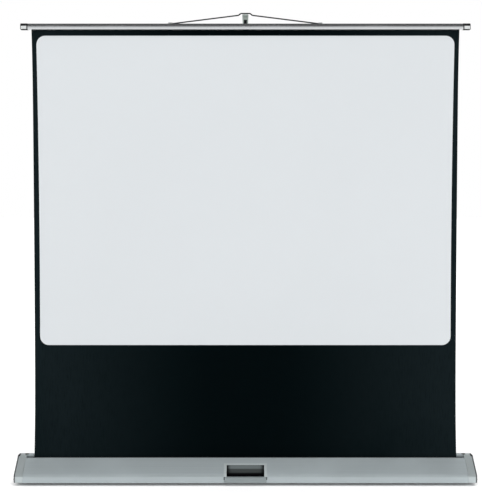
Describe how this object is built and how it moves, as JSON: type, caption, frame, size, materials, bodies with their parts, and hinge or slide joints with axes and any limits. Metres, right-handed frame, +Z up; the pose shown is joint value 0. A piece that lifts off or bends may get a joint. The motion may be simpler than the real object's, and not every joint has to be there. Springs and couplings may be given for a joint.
{
  "type": "projection screen",
  "caption": "Portable floor-standing pull-up projection screen with a spring roller in a slim metal case, a telescopic mast and a wire bail on the top bar.",
  "frame": {"origin": "on the floor, at the middle of the whole box", "axes": "+Z up, -Y towards the audience (the picture side), +X to the right as the audience sees it"},
  "size_m": [1.7888, 0.1772, 1.8209],
  "materials": {
    "anodised_case": "satin silver anodised extrusion",
    "anodised_bar": "satin silver anodised extrusion",
    "end_cap_plastic": "fine-grained silver-grey moulding",
    "fastener_steel": "zinc plated",
    "black_rubber": "matt",
    "felt": "short brushed felt",
    "black_plastic": "fine grain",
    "handle_metal": "satin anodised, a little darker than the case",
    "bracket_steel": "zinc plated",
    "black_paint": "black powder coat",
    "mast_aluminium": "drawn tube",
    "head_plastic": "pale grey moulding",
    "wire_steel": "bright drawn wire",
    "black_fabric": "matt coated cloth",
    "white_picture": "matt white projection coating"
  },
  "bodies": {
    "case": {"case_body": "anodised_case", "front_cover": "anodised_case", "end_cap_left": "end_cap_plastic", "end_cap_right": "end_cap_plastic", "end_cap_screw_upper_left": "fastener_steel", "end_cap_screw_lower_left": "fastener_steel", "end_cap_screw_upper_right": "fastener_steel", "end_cap_screw_lower_right": "fastener_steel", "bar_bumper_left": "black_rubber", "bar_bumper_right": "black_rubber", "slot_felt_front": "felt", "slot_felt_rear": "felt", "handle_housing": "black_plastic", "handle_rim": "handle_metal", "handle_grip": "handle_metal", "roller_bracket_left": "bracket_steel", "roller_bracket_right": "bracket_steel", "roller_spring": "bracket_steel", "spring_shaft": "bracket_steel", "mast_bracket": "black_paint", "mast_pivot_pin": "fastener_steel", "mast_pivot_nut": "fastener_steel", "mast_bracket_screw_left": "fastener_steel", "mast_bracket_screw_right": "fastener_steel", "mast_cradle": "black_plastic", "foot_pivot_screw_left": "fastener_steel", "foot_pivot_screw_right": "fastener_steel", "rubber_pad_left": "black_rubber", "rubber_pad_right": "black_rubber"},
    "roller": {"roller_tube": "mast_aluminium", "fabric_roll": "black_fabric", "idler_plug": "black_plastic", "spring_plug": "black_plastic"},
    "top_bar": {"top_bar": "anodised_bar", "top_bar_cap_left": "end_cap_plastic", "top_bar_cap_right": "end_cap_plastic", "fabric_keder_rod": "black_plastic", "bail_clip_left": "bracket_steel", "bail_clip_right": "bracket_steel", "bail_clip_screw_left": "fastener_steel", "bail_clip_screw_right": "fastener_steel", "screen_fabric": "black_fabric", "picture_surface": "white_picture"},
    "bail": {"wire_bail": "wire_steel"},
    "mast_outer": {"mast_knuckle": "black_plastic", "mast_outer_tube": "black_paint"},
    "mast_middle": {"mast_middle_tube": "mast_aluminium", "middle_glide": "black_plastic"},
    "mast_inner": {"mast_inner_tube": "black_paint", "inner_glide": "black_plastic", "mast_head": "head_plastic"},
    "lower_collar": {"lower_lock_collar": "black_plastic"},
    "upper_collar": {"upper_lock_collar": "black_plastic"},
    "foot_left": {"foot_bar_left": "black_paint", "foot_sole_left": "black_rubber"},
    "foot_right": {"foot_bar_right": "black_paint", "foot_sole_right": "black_rubber"}
  },
  "joints": [
    {"name": "screen_lift", "type": "slide", "parent": "case", "child": "top_bar", "axis": [0, 0, 1], "range_m": [-1.65, 0], "deforming": ["screen_fabric", "picture_surface"]},
    {"name": "roller_spin", "type": "hinge", "parent": "case", "child": "roller", "pos_m": [0, -0.01235, 0.045], "axis": [1, 0, 0], "range_deg": [-4400, 0]},
    {"name": "bail_tilt", "type": "hinge", "parent": "top_bar", "child": "bail", "pos_m": [0, 0.026, 1.7798], "axis": [1, 0, 0], "range_deg": [0, 90]},
    {"name": "mast_fold", "type": "hinge", "parent": "case", "child": "mast_outer", "pos_m": [0, 0.0635, 0.115], "axis": [0, 1, 0], "range_deg": [0, 90]},
    {"name": "mast_lower_slide", "type": "slide", "parent": "mast_outer", "child": "mast_middle", "axis": [0, 0, 1], "range_m": [-0.49, 0]},
    {"name": "mast_upper_slide", "type": "slide", "parent": "mast_middle", "child": "mast_inner", "axis": [0, 0, 1], "range_m": [-0.49, 0]},
    {"name": "lower_collar_twist", "type": "hinge", "parent": "mast_outer", "child": "lower_collar", "pos_m": [0, 0.0635, 0.72], "axis": [0, 0, 1], "range_deg": [0, 90]},
    {"name": "upper_collar_twist", "type": "hinge", "parent": "mast_middle", "child": "upper_collar", "pos_m": [0, 0.0635, 1.25], "axis": [0, 0, 1], "range_deg": [0, 90]},
    {"name": "foot_left_swivel", "type": "hinge", "parent": "case", "child": "foot_left", "pos_m": [-0.6, -0.0216, 0.008], "axis": [0, 0, 1], "range_deg": [0, 90]},
    {"name": "foot_right_swivel", "type": "hinge", "parent": "case", "child": "foot_right", "pos_m": [0.6, -0.0216, 0.008], "axis": [0, 0, 1], "range_deg": [-90, 0]}
  ],
  "couplings": [
    {"joint": "roller_spin", "follows": "screen_lift", "rad_per_m": 46.5},
    {"joint": "mast_upper_slide", "follows": "mast_lower_slide", "ratio": 1}
  ]
}
